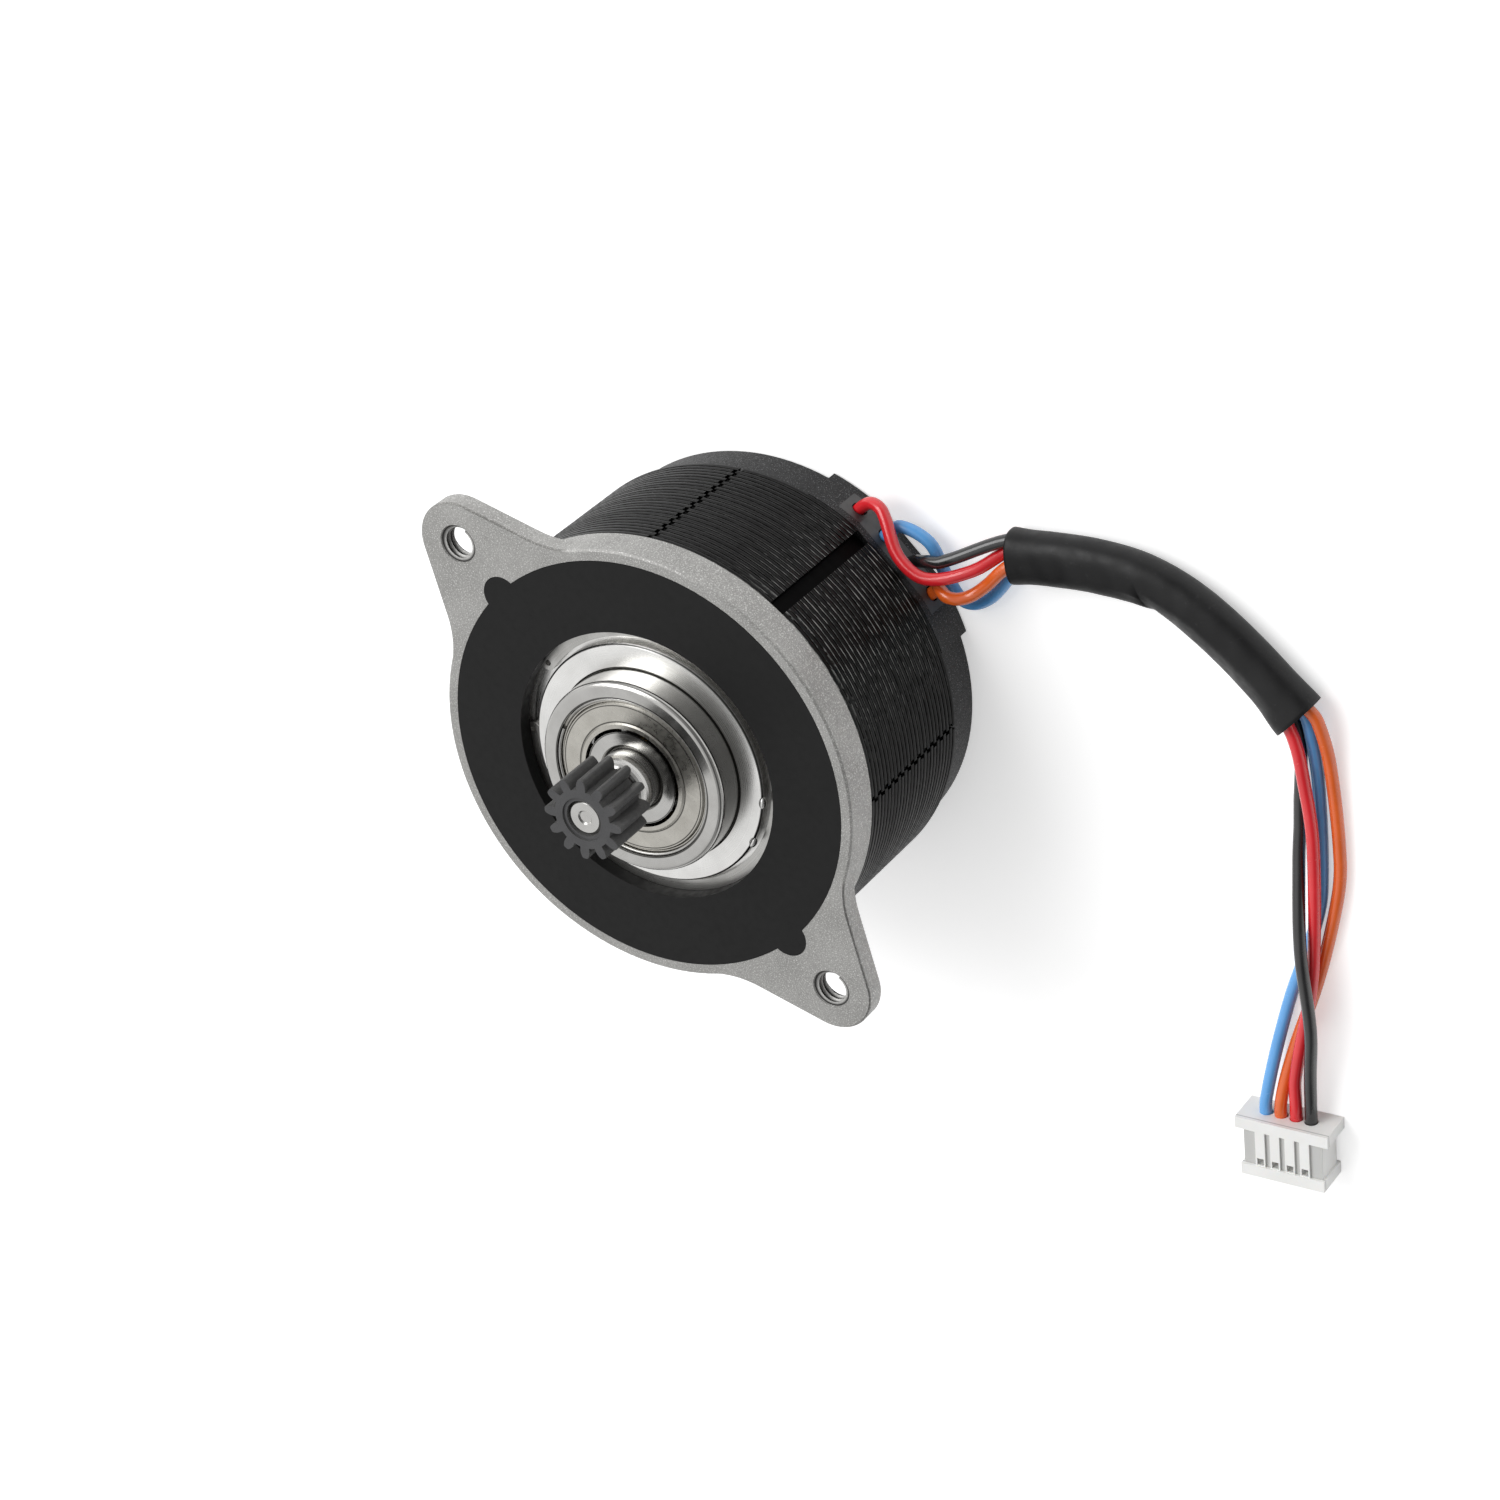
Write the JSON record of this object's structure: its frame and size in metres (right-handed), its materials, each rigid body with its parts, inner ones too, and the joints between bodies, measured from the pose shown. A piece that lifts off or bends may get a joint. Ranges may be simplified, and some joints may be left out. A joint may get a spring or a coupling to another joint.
{
  "type": "stepper motor",
  "caption": "Round stepper motor with two mounting ears, a small toothed pinion on its shaft and a four-colour wire lead that ends in a white crimp housing.",
  "frame": {"origin": "centre of the flange's front face, on the shaft axis", "axes": "+Z leaves along the shaft towards the pinion, +X points at one ear, +Y points at the wire outlet; the rear cover stands on z = -0.020 m"},
  "size_m": [0.0842, 0.0566, 0.0286],
  "materials": {
    "flange_casting": "bead-blasted die casting",
    "disc_black": "black, smooth",
    "hub_steel": "turned, bright",
    "spring_steel": "drawn wire",
    "bearing_steel": "ground and polished",
    "shield_steel": "pressed sheet",
    "ball_steel": "polished",
    "cage_brass": "pressed",
    "shaft_steel": "ground",
    "pinion_sintered": "sintered, oiled",
    "rotor_steel": "ground sheet edges",
    "magnet": "ground",
    "stack_black": "black lacquer over sheet edges",
    "nylon": "moulded",
    "copper": "enamelled copper wire",
    "cover_black": "black, fine sparkle",
    "screw_steel": "zinc-black",
    "block_black": "moulded",
    "wire_red": "PVC insulation",
    "wire_blue": "PVC insulation",
    "wire_black": "PVC insulation",
    "wire_orange": "PVC insulation",
    "sleeve_black": "shrunk polyolefin",
    "housing_white": "moulded nylon",
    "terminal_tin": "tin plated"
  },
  "bodies": {
    "stator": {"front_flange": "flange_casting", "front_disc": "disc_black", "bearing_hub": "hub_steel", "snap_ring": "spring_steel", "front_bearing_outer_ring": "bearing_steel", "front_bearing_shield": "shield_steel", "shield_snap_wire": "spring_steel", "rear_bearing_outer_ring": "bearing_steel", "rear_bearing_shields": "shield_steel", "wave_washer": "spring_steel", "stator_stack": "stack_black", "front_insulator": "nylon", "rear_insulator": "nylon", "stator_windings": "copper", "rear_cover": "cover_black", "tie_screws": "screw_steel", "lead_block": "block_black", "wire_red": "wire_red", "wire_blue": "wire_blue", "wire_black": "wire_black", "wire_orange": "wire_orange", "heat_shrink_sleeve": "sleeve_black", "connector_housing": "housing_white", "crimp_terminals": "terminal_tin"},
    "rotor": {"motor_shaft": "shaft_steel", "pinion": "pinion_sintered", "rotor_cup_front": "rotor_steel", "rotor_magnet": "magnet", "rotor_cup_rear": "rotor_steel", "front_bearing_inner_ring": "bearing_steel", "rear_bearing_inner_ring": "bearing_steel"},
    "front_ball_set": {"front_bearing_balls": "ball_steel", "front_bearing_cage": "cage_brass"},
    "rear_ball_set": {"rear_bearing_balls": "ball_steel", "rear_bearing_cage": "cage_brass"}
  },
  "joints": [
    {"name": "rotor_spin", "type": "hinge", "parent": "stator", "child": "rotor", "pos_m": [0, 0, 0], "axis": [0, 0, 1], "continuous": true},
    {"name": "front_ball_set_spin", "type": "hinge", "parent": "stator", "child": "front_ball_set", "pos_m": [0, 0, -0.0006], "axis": [0, 0, 1], "continuous": true},
    {"name": "rear_ball_set_spin", "type": "hinge", "parent": "stator", "child": "rear_ball_set", "pos_m": [0, 0, -0.0165], "axis": [0, 0, 1], "continuous": true}
  ],
  "couplings": [
    {"joint": "front_ball_set_spin", "follows": "rotor_spin", "ratio": 0.3608},
    {"joint": "rear_ball_set_spin", "follows": "rotor_spin", "ratio": 0.3608}
  ]
}
